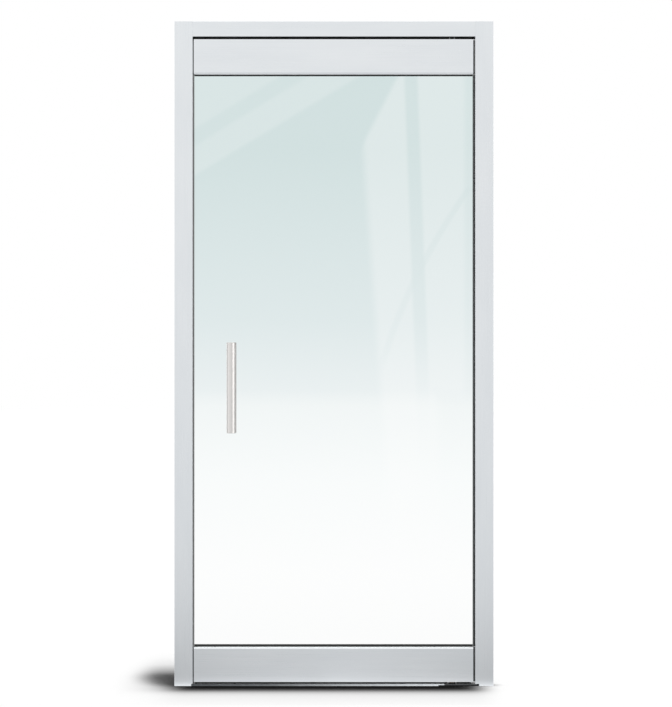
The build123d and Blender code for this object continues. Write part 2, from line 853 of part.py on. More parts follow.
def make_glass():
    """Toughened pane with arrised edges and two holes for the pulls."""
    low = bottom_glass_line - glass_bite
    high = top_glass_line + glass_bite
    left = leaf_free_edge + glass_edge_inset
    right = leaf_pivot_edge - glass_edge_inset
    pane = Pos((left + right) / 2, 0, (low + high) / 2) * Box(right - left, glass_thickness, high - low)
    pane = chamfer(pane.edges(), glass_arris)
    for z in pull_post_heights():
        pane -= rod((pull_x, -glass_thickness, z), (0, 1, 0), glass_hole_radius, glass_thickness * 2)
    return pane


def make_setting_block(side):
    middle = side * ((rail_end - rail_start) / 2 - setting_block_margin) + (rail_end + rail_start) / 2
    half = setting_block_length / 2
    low = pocket_front + setting_block_play
    profile = span(glass_bite, pocket_depth, low, -low)
    return along_rail(profile, -1, middle - half, middle + half)


# Pull handles. way is -1 in front of the glass and +1 behind it.

def pull_post_heights():
    spread = pull_length / 2 - pull_post_inset
    return [pull_centre_height - spread, pull_centre_height + spread]


def pull_axis(way):
    return way * (glass_half + pull_stand_off)


def make_pull_bar(way):
    """Round tube with two holes for the posts' spigots."""
    low = pull_centre_height - pull_length / 2 + pull_plug_thickness
    length = pull_length - 2 * pull_plug_thickness
    tube = ring((pull_x, pull_axis(way), low), (0, 0, 1), pull_radius, plug_radius, length)
    hole = pull_spigot_radius + fixed_fit
    for z in pull_post_heights():
        tube -= rod((pull_x, way * glass_half, z), (0, way, 0), hole, pull_stand_off)
    return tube


def pull_end_plugs():
    """Turned plugs flush with the tube, one in each end."""
    plugs = []
    for way in (-1, 1):
        for end in (-1, 1):
            seat = pull_centre_height + end * (pull_length / 2 - pull_plug_thickness)
            place = (pull_x, pull_axis(way), seat)
            disc = rod(place, (0, 0, end), pull_radius, pull_plug_thickness)
            rim = disc.edges().filter_by(GeomType.CIRCLE).sort_by(Axis.Z)[-1 if end > 0 else 0]
            disc = chamfer(rim, pull_edge_chamfer)
            plugs.append(disc + rod(place, (0, 0, -end), plug_radius - fixed_fit, pull_plug_depth))
    return group(*plugs)


def make_pull_post(way, height):
    """Turned post, coped to the tube, with a spigot in the tube and a threaded hole for the bolt."""
    face = glass_half + bush_flange_thickness
    post = rod((pull_x, way * face, height), (0, way, 0), pull_post_radius, pull_stand_off)
    low = height - 2 * pull_post_radius
    length = 4 * pull_post_radius
    post -= rod((pull_x, pull_axis(way), low), (0, 0, 1), pull_radius + saddle_play, length)
    keep = Pos(pull_x, way * (glass_half + pull_stand_off / 2), height) * Box(
        4 * pull_post_radius, pull_stand_off, 4 * pull_post_radius
    )
    post = post & keep
    spigot_end = glass_half + pull_stand_off - plug_radius + pull_spigot_stand
    post += rod((pull_x, way * face, height), (0, way, 0), pull_spigot_radius, spigot_end - face)
    depth = through_bolt_half + through_bolt_play - face
    post -= rod((pull_x, way * face, height), (0, way, 0), through_bolt_radius + fixed_fit, depth)
    if way > 0:
        start = (pull_x, way * (glass_half + grub_stand_off), height - through_bolt_radius)
        post -= rod(start, (0, 0, -1), grub_radius + fixed_fit, pull_post_radius)
    return post


def pull_through_bolts():
    bolts = []
    for z in pull_post_heights():
        start = (pull_x, -through_bolt_half, z)
        bolts.append(rod(start, (0, 1, 0), through_bolt_radius, 2 * through_bolt_half))
    return group(*bolts)


def pull_glass_bushes():
    """Nylon bushes: a sleeve in the glass hole and a flange between glass and post."""
    bushes = []
    inner = through_bolt_radius + fixed_fit
    sleeve = glass_half - bush_play
    for way in (-1, 1):
        for z in pull_post_heights():
            place = (pull_x, way * glass_half, z)
            flange = ring(place, (0, way, 0), pull_post_radius, inner, bush_flange_thickness)
            bushes.append(flange + ring(place, (0, -way, 0), glass_hole_radius - bush_play, inner, sleeve))
    return group(*bushes)


def pull_grub_screws():
    """Lock the bolts in the back posts, from below."""
    screws = []
    for z in pull_post_heights():
        start = (pull_x, glass_half + grub_stand_off, z - through_bolt_radius - fixed_fit)
        screws.append(rod(start, (0, 0, -1), grub_radius, grub_length))
    return group(*screws)


def save_frame():
    save(make_jamb(-1, strike_notch), "strike_jamb")
    save(make_jamb(1, pivot_notch), "pivot_jamb")
    save(make_header(), "header")
    save(header_screws(), "header_screws")
    save(jamb_pile(-1, strike_gap, notch_height + notch_play, leaf_top + pile_clearance), "strike_jamb_pile")
    pivot_proud = pivot_gap + glass_edge_inset
    save(jamb_pile(1, pivot_proud, bottom_glass_line, top_glass_line), "pivot_jamb_pile")
    save(header_pile(), "header_pile")
    save(make_threshold(), "threshold")
    save(make_cleat(-1), "strike_cleat")
    save(make_cleat(1), "pivot_cleat")
    save(cleat_screws(), "cleat_screws")
    save(threshold_screws(), "threshold_screws")
    save(lap_screws(), "lap_screws")
    save(make_top_pivot_plate(), "top_pivot_plate")
    save(make_top_pivot_pin(), "top_pivot_pin")
    save(top_pivot_screws(), "top_pivot_screws")
    save(make_floor_pivot_plate(), "floor_pivot_plate")
    save(make_spindle(), "floor_pivot_spindle")
    save(make_thrust_washer(), "thrust_washer")


def save_rails():
    for which, name in ((-1, "bottom"), (1, "top")):
        save(make_channel(which), f"{name}_rail_channel")
        for way, face in ((-1, "front"), (1, "back")):
            save(make_cover(which, way), f"{name}_rail_{face}_cover")
            save(make_gasket(which, way), f"{name}_{face}_gasket")
        for side, edge in ((-1, "free"), (1, "pivot")):
            save(make_end_cap(which, side), f"{name}_rail_{edge}_end_cap")
        save(make_clamp_strip(which), f"{name}_clamp_strip")
        save(clamp_screws(which), f"{name}_clamp_screws")
        save(block_screws(which), f"{name}_block_screws")
    save(end_cap_screws(), "end_cap_screws")
    bottom_bore = (leaf_bottom - past, leaf_bottom + spindle_reach + blind_play)
    top_bore = (leaf_top - top_pin_reach - blind_play, leaf_top)
    save(make_block(-1, spindle_radius + bush_wall, leaf_bottom, *bottom_bore), "bottom_pivot_block")
    save(make_block(1, top_pin_radius + bush_wall, leaf_top - land_recess, *top_bore), "top_pivot_block")
    save(make_bottom_bush(), "bottom_pivot_bush")
    save(make_top_bush(), "top_pivot_bush")
    save(make_filler(), "top_rail_filler")
    save(make_sweep_carrier(), "sweep_carrier")
    save(make_sweep_brush(), "sweep_brush")


def save_glass_and_pulls():
    save(make_glass(), "glass_pane")
    save(make_setting_block(-1), "free_setting_block")
    save(make_setting_block(1), "pivot_setting_block")
    low, high = pull_post_heights()
    for way, face in ((-1, "front"), (1, "back")):
        save(make_pull_bar(way), f"{face}_pull_bar")
        save(make_pull_post(way, low), f"{face}_pull_lower_post")
        save(make_pull_post(way, high), f"{face}_pull_upper_post")
    save(pull_end_plugs(), "pull_end_plugs")
    save(pull_through_bolts(), "pull_through_bolts")
    save(pull_glass_bushes(), "pull_glass_bushes")
    save(pull_grub_screws(), "pull_grub_screws")


save_frame()
save_rails()
save_glass_and_pulls()
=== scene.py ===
"""Looks of the glass door: finishes of the leaf, its rails and pulls and the frame, and the studio round it.

Metres, in the part's own frame: +X from the free edge to the pivot edge, +Y away from the viewer, +Z up. The grain
and the relief of a finish are in millimetres.
"""

import math

import bmesh
import bpy
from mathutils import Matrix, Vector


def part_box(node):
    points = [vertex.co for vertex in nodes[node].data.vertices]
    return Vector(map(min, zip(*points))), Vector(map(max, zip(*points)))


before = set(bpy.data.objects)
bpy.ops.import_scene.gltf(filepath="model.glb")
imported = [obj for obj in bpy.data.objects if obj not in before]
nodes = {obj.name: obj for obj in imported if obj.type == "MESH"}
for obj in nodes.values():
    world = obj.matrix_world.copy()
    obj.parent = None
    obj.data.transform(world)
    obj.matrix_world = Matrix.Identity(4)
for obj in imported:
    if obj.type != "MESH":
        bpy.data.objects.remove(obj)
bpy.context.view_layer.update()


# Small helpers

# Nearly all of a noise pattern lies between these two values.
PATTERN_SPAN = (0.3, 0.7)


def linear(code):
    """Linear RGBA of an sRGB hex colour."""
    parts = [int(code[i:i + 2], 16) / 255 for i in (1, 3, 5)]
    return [p / 12.92 if p <= 0.04045 else ((p + 0.055) / 1.055) ** 2.4 for p in parts] + [1.0]


def feed(tree, node, inputs):
    """Set a node's inputs. Each is a number, a colour, or the node or the output that feeds it."""
    for key, value in inputs.items():
        if isinstance(value, bpy.types.Node):
            value = value.outputs[0]
        if isinstance(value, bpy.types.NodeSocket):
            tree.links.new(value, node.inputs[key])
        else:
            node.inputs[key].default_value = value


def add(tree, kind, inputs=None, stops=(), **settings):
    """Add a node with its settings and links. Stops are the places and colours of a ramp."""
    node = tree.nodes.new(kind)
    for name, value in settings.items():
        setattr(node, name, value)
    if stops:
        points = node.color_ramp.elements
        points[0].position, points[0].color = stops[0]
        points[1].position, points[1].color = stops[-1]
        for position, colour in stops[1:-1]:
            points.new(position).color = colour
    feed(tree, node, inputs or {})
    return node


def tints(dark, light):
    """Stops between two hex colours, over what a pattern spans."""
    return list(zip(PATTERN_SPAN, (linear(dark), linear(light))))


def pattern(tree, place, grain, detail=3.0, harshness=0.6):
    """Noise with its own grain along X, Y and Z, in millimetres."""
    spread = add(tree, "ShaderNodeMapping", {"Vector": place, "Scale": [1000 / size for size in grain]})
    return add(tree, "ShaderNodeTexNoise",
               {"Vector": spread, "Scale": 1.0, "Detail": detail, "Roughness": harshness})


def profile(tree, value, stops, blend="LINEAR"):
    """A level that follows a length, an angle or a pattern, from stops of a place on it and the level there."""
    low, high = stops[0][0], stops[-1][0]
    share = add(tree, "ShaderNodeMapRange", {"Value": value, "From Min": low, "From Max": high})
    levels = add(tree, "ShaderNodeValToRGB", {"Fac": share},
                 stops=[((at - low) / (high - low), [level] * 3 + [1.0]) for at, level in stops])
    levels.color_ramp.interpolation = blend
    return levels


def product(tree, *levels):
    """Levels multiplied together."""
    total = levels[0]
    for level in levels[1:]:
        total = add(tree, "ShaderNodeMath", {0: total, 1: level}, operation="MULTIPLY")
    return total


def all_but(tree, *levels):
    """What the product of some levels leaves of one."""
    return add(tree, "ShaderNodeMath", {0: 1.0, 1: product(tree, *levels)}, operation="SUBTRACT")


def start_material(name, metallic=0.0):
    """New material with its shader, its output and Object coordinates."""
    material = bpy.data.materials.new(name)
    material.use_nodes = True
    tree = material.node_tree
    tree.nodes.clear()
    shader = add(tree, "ShaderNodeBsdfPrincipled", {"Metallic": metallic})
    add(tree, "ShaderNodeOutputMaterial", {"Surface": shader})
    place = add(tree, "ShaderNodeTexCoord").outputs["Object"]
    return material, tree, shader, place


def find(tree, kind):
    """First node of a kind."""
    return next(node for node in tree.nodes if node.bl_idname == kind)


def lay_over(tree, share, under, over):
    """Show one shader over another by a share, and send both to the output. Returns the output."""
    output = find(tree, "ShaderNodeOutputMaterial")
    feed(tree, output, {"Surface": add(tree, "ShaderNodeMixShader", {0: share, 1: under, 2: over})})
    return output


def shade(tree, shader, noise, colour, roughness, relief):
    """Let a pattern shade a surface: its colour, its roughness between two limits, and its relief in millimetres.

    The colour is two hex colours, or an output that already holds it.
    """
    if isinstance(colour, tuple):
        colour = add(tree, "ShaderNodeValToRGB", {"Fac": noise}, stops=tints(*colour))
    low, high = PATTERN_SPAN
    rough = add(tree, "ShaderNodeMapRange", {"Value": noise, "From Min": low, "From Max": high,
                                             "To Min": roughness[0], "To Max": roughness[1]})
    bumps = add(tree, "ShaderNodeBump", {"Height": noise, "Distance": relief / 1000})
    feed(tree, shader, {"Base Color": colour, "Roughness": rough, "Normal": bumps})


def plain_finish(name, colour, roughness, relief, grain, metallic=0.0, constants=None, **noise):
    """A finish that follows one pattern all over."""
    material, tree, shader, place = start_material(name, metallic)
    shade(tree, shader, pattern(tree, place, grain, **noise), colour, roughness, relief)
    feed(tree, shader, constants or {})
    return material


def dress(material, *names):
    """Give CAD nodes their finish."""
    for name in names:
        mesh = nodes[name].data
        mesh.materials.clear()
        mesh.materials.append(material)


# Finishes

# How far past the pane's edge the painted shade on the end caps' nibs starts, and how far it is before it covers
# fully.
NIB_SHADE = (0.0006, 0.0010)

# How lit the threshold is painted, by places along it: painted shade towards the free edge, none beside the pivot.
THRESHOLD_LIT_SHARE = ((-0.5, 0.0), (-0.35, 0.04), (-0.22, 0.12), (-0.01, 0.42), (0.2, 0.8), (0.34, 1.0))

# Where a highlight is painted along the floor plate's top edges, in bare steel's colour, by distance from its middle
# line and by height.
EDGE_HIGHLIGHT_ASIDE = ((0.0284, 0.0), (0.0296, 1.0))
EDGE_HIGHLIGHT_HEIGHT = ((0.0045, 0.0), (0.0055, 1.0))

# Width of the arrises along the pane's edges, and over what width their green starts.
GLASS_ARRIS = 0.001
GREEN_START = 0.0001
GLASS_IOR = 1.52

# Roughness that a film gives the pane, by its pattern.
GLASS_FILM = ((0.45, 0.0), (0.75, 0.012))


def anodised_aluminium(name, along):
    """Extruded aluminium, etched and anodised: a satin, faintly cloudy sheen with drawing lines along the profile.

    Real drawing lines lie 0.1 to 0.5 mm apart. They are drawn 1 mm apart so that they show.
    """
    material, tree, shader, place = start_material(name, metallic=1.0)
    lines = pattern(tree, place, [500.0 if axis == along else 1.0 for axis in "XYZ"], detail=2.0)
    clouds = pattern(tree, place, [333.0 if axis == along else 71.4 for axis in "XYZ"])
    both = add(tree, "ShaderNodeMath", {0: lines, 1: clouds}, operation="ADD")
    colour = add(tree, "ShaderNodeValToRGB", {"Fac": product(tree, both, 0.5)}, stops=tints("#e2e6e9", "#ebeef0"))
    shade(tree, shader, lines, colour, (0.27, 0.33), 0.004)
    return material


def aluminium_with_shade_painted_nib():
    """The pivot end caps: anodised, with painted shade on the nib: near-black, which keeps the gap there a dark line.

    The painted shade has a grit, drawn 1.4 mm apart.
    """
    material = anodised_aluminium("satin_anodised_aluminium_with_painted_shade_nib", "X")
    tree = material.node_tree
    cap = find(tree, "ShaderNodeBsdfPrincipled")
    place = find(tree, "ShaderNodeTexCoord").outputs["Object"]
    nib_shade = add(tree, "ShaderNodeBsdfPrincipled")
    shade(tree, nib_shade, pattern(tree, place, [1.43] * 3), ("#08090a", "#141516"), (0.7, 0.85), 0.02)
    along = add(tree, "ShaderNodeSeparateXYZ", {0: place})
    pane_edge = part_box("glass_pane")[1][0]
    # Painted shade: near-black on the nib in the pivot gap, past the pane's edge.
    nib = profile(tree, along, [(pane_edge + past, level) for past, level in zip(NIB_SHADE, (0.0, 1.0))])
    lay_over(tree, nib, cap, nib_shade)
    return material


def threshold_aluminium_with_painted_shade():
    """Anodised aluminium underfoot, scuffed, with painted shade: dark towards the free edge, still bright beside the
    pivot.

    Scuffs are about 10 mm long and 3 mm wide, as real ones are.
    """
    material, tree, shader, place = start_material("anodised_aluminium_with_painted_shade", metallic=1.0)
    scuffs = pattern(tree, place, (11.1, 2.86, 2.86), detail=5.0)
    along = add(tree, "ShaderNodeSeparateXYZ", {0: place})
    shaded_tone, lit_tone = (add(tree, "ShaderNodeValToRGB", {"Fac": scuffs}, stops=tints(*codes))
                    for codes in (("#424547", "#5d6062"), ("#c3c7ca", "#dde1e4")))
    # Painted shade along the threshold: darker towards the free edge, bright beside the pivot.
    mixed = add(tree, "ShaderNodeMix", {"Factor": profile(tree, along, THRESHOLD_LIT_SHARE), 6: shaded_tone, 7: lit_tone},
                data_type="RGBA")
    shade(tree, shader, scuffs, mixed.outputs[2], (0.34, 0.5), 0.02)
    return material


def ground_stainless():
    """Stainless tube ground with a belt round its axis: fine rings, which draw lamps out into long upright streaks.

    Real rings lie about 0.1 mm apart. They are drawn 0.6 mm apart.
    """
    material, tree, shader, place = start_material("belt_ground_stainless_steel", metallic=1.0)
    rings = pattern(tree, place, (40.0, 40.0, 0.625))
    shade(tree, shader, rings, ("#d8d5d2", "#e0dddb"), (0.22, 0.26), 0.003)
    turn = add(tree, "ShaderNodeTangent", direction_type="RADIAL", axis="Z")
    feed(tree, shader, {"Anisotropic": 0.9, "Anisotropic Rotation": 0.25, "Tangent": turn})
    return material


def blackened_steel():
    """Ground steel with a black oxide skin: near-black, with a dull oily sheen that thins to grey in streaks.

    Along the floor plate's front and back top edges a highlight is painted, in bare steel's colour. Real streaks are
    finer than the 2.5 mm by 17 mm that they are drawn.
    """
    material, tree, shader, place = start_material("black_oxide_steel", metallic=0.6)
    streaks = pattern(tree, place, (16.7, 2.5, 2.5), detail=4.0)
    parts = add(tree, "ShaderNodeSeparateXYZ", {0: place}).outputs
    aside = add(tree, "ShaderNodeMath", {0: parts[1]}, operation="ABSOLUTE")
    # Painted highlight along the floor plate's top edges, front and back.
    edge_highlight = product(tree, profile(tree, aside, EDGE_HIGHLIGHT_ASIDE), profile(tree, parts[2], EDGE_HIGHLIGHT_HEIGHT),
                     profile(tree, streaks, list(zip(PATTERN_SPAN, (0.5, 1.0)))))
    oxide = add(tree, "ShaderNodeValToRGB", {"Fac": streaks}, stops=tints("#17181a", "#2b2c2e"))
    skin = add(tree, "ShaderNodeMix", {"Factor": edge_highlight, 6: oxide, 7: linear("#a2a4a5")}, data_type="RGBA")
    shade(tree, shader, streaks, skin.outputs[2], (0.38, 0.55), 0.01)
    return material


def wool_pile(name, along, dark, light):
    """Woven pile: short upright fibres in rows 1 mm apart, as real ones are, which swallow light."""
    return plain_finish(name, (dark, light), (0.85, 1.0), 0.4, [1.0 if axis == along else 2.86 for axis in "XYZ"],
                        constants={"Sheen Weight": 0.25, "Sheen Roughness": 0.6}, detail=4.0, harshness=0.7)


def toughened_glass():
    """Clear toughened float glass, 12 mm: colourless across its face, green along its edges.

    Toughening rolls leave a wave about 250 mm long, and a faint film dulls it in patches about 70 to 110 mm across.
    Light that has run along the pane comes out green from its two upright edges and their arrises, which are ground
    lengthways, in streaks about 140 mm long.
    """
    material, tree, shader, place = start_material("clear_toughened_glass")
    wave = pattern(tree, place, [250.0] * 3, detail=1.0, harshness=0.5)
    film = pattern(tree, place, (71.4, 71.4, 111.0), detail=4.0)
    feed(tree, shader, {"Base Color": linear("#ffffff"), "Transmission Weight": 1.0, "IOR": GLASS_IOR,
                        "Roughness": profile(tree, film, GLASS_FILM),
                        "Normal": add(tree, "ShaderNodeBump", {"Height": wave, "Distance": 0.00002})})
    edge = add(tree, "ShaderNodeBsdfPrincipled", {"IOR": GLASS_IOR})
    shade(tree, edge, pattern(tree, place, (2.5, 2.5, 143.0)), ("#3c7466", "#6fab9b"), (0.1, 0.2), 0.02)
    low, high = (corner[0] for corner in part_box("glass_pane"))
    along = add(tree, "ShaderNodeSeparateXYZ", {0: place})
    off_middle = add(tree, "ShaderNodeMath", {0: along, 1: (low + high) / 2}, operation="SUBTRACT")
    aside = add(tree, "ShaderNodeMath", {0: off_middle}, operation="ABSOLUTE")
    inside_arris = (high - low) / 2 - GLASS_ARRIS
    green = profile(tree, aside, ((inside_arris, 0.0), (inside_arris + GREEN_START, 1.0)))
    output = lay_over(tree, green, shader, edge)
    depth = add(tree, "ShaderNodeVolumeAbsorption", {"Color": linear("#9fd6c4"), "Density": 1.6})
    feed(tree, output, {"Volume": depth})
    return material


frame_upright = anodised_aluminium("satin_anodised_aluminium_upright", "Z")
frame_level = anodised_aluminium("satin_anodised_aluminium_level", "X")
shade_nibbed = aluminium_with_shade_painted_nib()
shaded_threshold = threshold_aluminium_with_painted_shade()
stainless = ground_stainless()
blackened = blackened_steel()
black_pile_upright = wool_pile("black_wool_pile_upright", "Z", "#121313", "#2c2d2e")
black_pile_level = wool_pile("black_wool_pile_level", "X", "#0c0d0d", "#232425")
grey_pile_upright = wool_pile("grey_wool_pile_upright", "Z", "#6c6f71", "#85888a")
glass = toughened_glass()

# Aluminium as extruded, not finished: greyer than the anodised faces, and brighter in streaks along its length.
# Its drawing lines are drawn about 1 mm apart, as on the anodised faces.
mill = plain_finish("mill_finish_aluminium", ("#a9acae", "#c6c8c9"), (0.28, 0.42), 0.008, (167.0, 1.11, 1.11),
                    metallic=1.0)

# Stainless posts and end plugs as they come off the lathe: a brighter, finer grain than the ground tube's.
# Real feed marks lie about 0.1 mm apart. These are drawn 1.1 mm apart.
turned = plain_finish("turned_stainless_steel", ("#cfcbc7", "#dcd9d5"), (0.18, 0.28), 0.004, (3.33, 1.11, 3.33),
                      metallic=1.0, detail=2.0)

# Machined steel of the pivots and the pulls' bolts: feed marks, drawn 0.7 mm apart, on a dark grey.
steel = plain_finish("turned_steel", ("#8e9092", "#a6a8a9"), (0.25, 0.4), 0.01, (8.33, 8.33, 0.667),
                     metallic=1.0, detail=2.0)

# Bright zinc plating, passivated: a faint blue bloom in patches of about 5 mm, as real ones are.
zinc = plain_finish("blue_passivated_zinc_plate", ("#949aa0", "#b4b6b4"), (0.25, 0.45), 0.02, [5.56] * 3,
                    metallic=1.0, detail=4.0)

# Turned bearing bronze: warm brown-gold with tool marks, drawn 0.4 mm apart.
bronze = plain_finish("bearing_bronze", ("#8f683b", "#b0854f"), (0.3, 0.45), 0.01, (5.0, 5.0, 0.4),
                      metallic=1.0, detail=2.0)

# Extruded EPDM rubber: near-black with a dull sheen and faint lines along its length, drawn 0.7 mm apart.
rubber = plain_finish("extruded_epdm_rubber", ("#161717", "#242525"), (0.5, 0.68), 0.02, (200.0, 0.667, 0.667))

# Natural moulded nylon: off-white and slightly waxy. Its faint grain is drawn 2.5 mm apart, coarser than the real one.
nylon = plain_finish("moulded_nylon", ("#d9d6ce", "#e6e3dc"), (0.35, 0.5), 0.02, [2.5] * 3, constants={"IOR": 1.53})

dress(frame_upright, "strike_jamb", "pivot_jamb")
dress(frame_level, "header", "top_rail_filler", *(name for name in nodes if name.endswith(("_cover", "_end_cap"))))
dress(shade_nibbed, "bottom_rail_pivot_end_cap", "top_rail_pivot_end_cap")
dress(shaded_threshold, "threshold")
dress(mill, "strike_cleat", "pivot_cleat", "bottom_rail_channel", "top_rail_channel", "bottom_clamp_strip",
      "top_clamp_strip", "sweep_carrier")
dress(stainless, "front_pull_bar", "back_pull_bar")
dress(turned, "pull_end_plugs", *(name for name in nodes if name.endswith("_post")))
dress(steel, "top_pivot_plate", "bottom_pivot_block", "top_pivot_block", "pull_through_bolts")
dress(blackened, "top_pivot_pin", "floor_pivot_plate", "floor_pivot_spindle")
dress(zinc, *(name for name in nodes if name.endswith("_screws")))
dress(bronze, "bottom_pivot_bush", "top_pivot_bush")
dress(rubber, *(name for name in nodes if name.endswith("_gasket")))
dress(black_pile_upright, "strike_jamb_pile")
dress(grey_pile_upright, "pivot_jamb_pile")
dress(black_pile_level, "header_pile", "sweep_brush")
dress(nylon, "free_setting_block", "pivot_setting_block", "pull_glass_bushes", "thrust_washer")
dress(glass, "glass_pane")

# Clear glass throws next to no shadow.
nodes["glass_pane"].visible_shadow = False


# Studio

# The camera, far off and level, and the size of the photograph at the front of the frame.
VIEW_X = 0.0068
VIEW_HEIGHT = 1.1006
VIEW_DISTANCE = 12.0
FRAME_FRONT = -0.030
PIXELS = 707
METRES_PER_PIXEL = 0.00331
SENSOR_WIDTH = 36.0
VIEW_REACH = 200.0

# Sun lamps straight overhead: strength, and spread in degrees.
LAMPS = (("overhead", 2.93, 2.0), ("overhead_soft", 0.22, 5.0))

FLOOR_REACH = 60.0

# How bright the floor glows to the metal, as a painted reflection, by the distance in front of or behind the door: a
# light band right at the foot, painted shade out to about a metre, lighter beyond.
FLOOR_AHEAD = ((0.03, 1.15), (0.07, 1.1), (0.13, 0.5), (0.4, 0.44), (0.8, 0.5), (1.6, 0.66), (4.0, 0.86), (6.0, 0.94))

# How much lighter the painted reflection is before the door's middle, a painted pool of light, by the distance aside
# and ahead.
FLOOR_MIDDLE = ((0.0, 0.3), (0.42, 0.1), (0.5, 0.0))
FLOOR_MIDDLE_AHEAD = ((0.2, 1.0), (1.8, 0.0))

# Straight from above the painted reflection is light: by how much longer than its way along the floor a mirrored ray
# is.
FLOOR_FROM_ABOVE = ((0.7, 0.0), (1.2, 1.0))
FLOOR_STEEP_LEVEL = 0.96

# Black nets over the door, as stops of a place and the share of light that they hold off. The side net's places are
# shares of its reach from its middle, towards the free edge and the viewer, worked out as far as SIDE_NET_PAST.
NET_HEIGHT = 2.45
NET_SPACING = 0.02
FOOT_NET_ALONG = ((-0.72, 0.0), (-0.632, 0.13), (-0.577, 0.35), (-0.545, 0.58), (-0.51, 0.95), (-0.49, 1.0),
                  (0.445, 1.0), (0.47, 0.93), (0.493, 0.55), (0.513, 0.1), (0.525, 0.0))
FOOT_NET_ACROSS = ((-0.75, 0.0), (-0.6, 0.07), (-0.4, 0.13), (-0.33, 0.22), (-0.26, 0.42), (-0.225, 0.64),
                   (-0.19, 0.85), (-0.155, 0.96), (-0.12, 1.0), (0.07, 1.0), (0.11, 0.8), (0.17, 0.42),
                   (0.26, 0.16), (0.45, 0.0))
SIDE_NET_MIDDLE = (-0.5, 0.33)
SIDE_NET_REACH = (0.152, 0.42)
SIDE_NET_ROUNDNESS = 1.9
SIDE_NET = ((0.0, 0.96), (0.5, 0.94), (0.7, 0.88), (0.87, 0.8), (1.0, 0.5), (1.1, 0.2), (1.2, 0.05), (1.35, 0.02),
            (1.6, 0.0))
SIDE_NET_PAST = 3.0
SIDE_NET_BACK = ((0.3, 1.0), (0.38, 0.97), (0.557, 0.62), (0.8, 0.21), (1.1, 0.04), (1.4, 0.0))

# What the metal sees: the light of the walls by degrees from the viewer round to the right, with a tall lamp at the
# right and the dark of the room beyond it, and how that rises with height.
WALLS = ((-180, 1.1), (-165, 1.5), (-120, 1.3), (-50, 1.17), (-24, 1.1), (0, 1.02), (28, 0.85), (41, 0.75), (48, 2.2),
         (66, 2.3), (76, 1.6), (94, 1.4), (106, 0.75), (122, 0.6), (135, 0.35), (165, 0.4), (180, 1.1))
WALLS_RISE = ((-0.05, 0.86), (0.3, 1.14))

# What the pane shows of the room, in pixels of the photograph. A line goes through two points, and a band has half a
# width and a soft edge. Below the photograph lies the floor, a little dimmer through the pane than beside it.
IMAGE_MIDDLE = (336.0, 353.5)
LEAST_DEPTH = 0.001
ROOM_DEPTH = 2000
ROOM = ((150, "#d0dfdf"), (320, "#dfe9ea"), (390, "#ebf1f2"), (404, "#f3f7f7"), (480, "#fbfdfd"), (570, "#ffffff"),
        (690, "#ffffff"), (1000, "#ecf3f3"), (ROOM_DEPTH, "#dfeaea"))
PANEL_LIGHT = 0.27
PANEL_UPPER_LEFT = ((394, 80), (362, 142))
PANEL_UPPER_EDGE = ((-2, 0.0), (6, 1.0))
PANEL_LOWER_LEFT = ((362, 160), (376, 350))
PANEL_LOWER_EDGE = ((-4, 0.0), (8, 1.0))
PANEL_RIGHT = ((461, 1.0), (468, 0.45))
PANEL_FOOT_ALONG = ((430, 1.0), (446, 0.0))
PANEL_FOOT_DOWN = ((385, 1.0), (405, 0.0))
UPRIGHT = ((411, 80), (420, 320))
UPRIGHT_BAND = (4, 5)
UPRIGHT_DARK = 0.85
UPRIGHT_FADE = ((330, 1.0), (430, 0.35))
CABLE_TOP = (470, 187)
CABLE_SLOPE = -0.701
CABLE_SAG = 0.00116
CABLE_BAND = (1.5, 4)
CABLE_DARK = 0.45
CABLE_UPPER_END = ((184, 0.0), (190, 1.0))
CABLE_LOWER_END = ((350, 1.0), (380, 0.0))
CORNER_LIGHT = 0.15
CORNER = ((353, 80), (200, 172))
CORNER_EDGE = ((-6, 1.0), (6, 0.0))
CORNER_STREAK = ((288, 80), (200, 134))
CORNER_STREAK_BAND = (8, 12)
CORNER_STREAK_DARK = 0.75


def stage_card(name, low, high, height, material):
    """Flat piece of the studio between two corners."""
    shape = bmesh.new()
    bmesh.ops.create_grid(shape, x_segments=1, y_segments=1, size=0.5)
    bmesh.ops.scale(shape, vec=(high[0] - low[0], high[1] - low[1], 1.0), verts=shape.verts)
    bmesh.ops.translate(shape, vec=((low[0] + high[0]) / 2, (low[1] + high[1]) / 2, height), verts=shape.verts)
    mesh = bpy.data.meshes.new(name)
    shape.to_mesh(mesh)
    shape.free()
    mesh.materials.append(material)
    card = bpy.data.objects.new(name, mesh)
    bpy.context.scene.collection.objects.link(card)
    return card


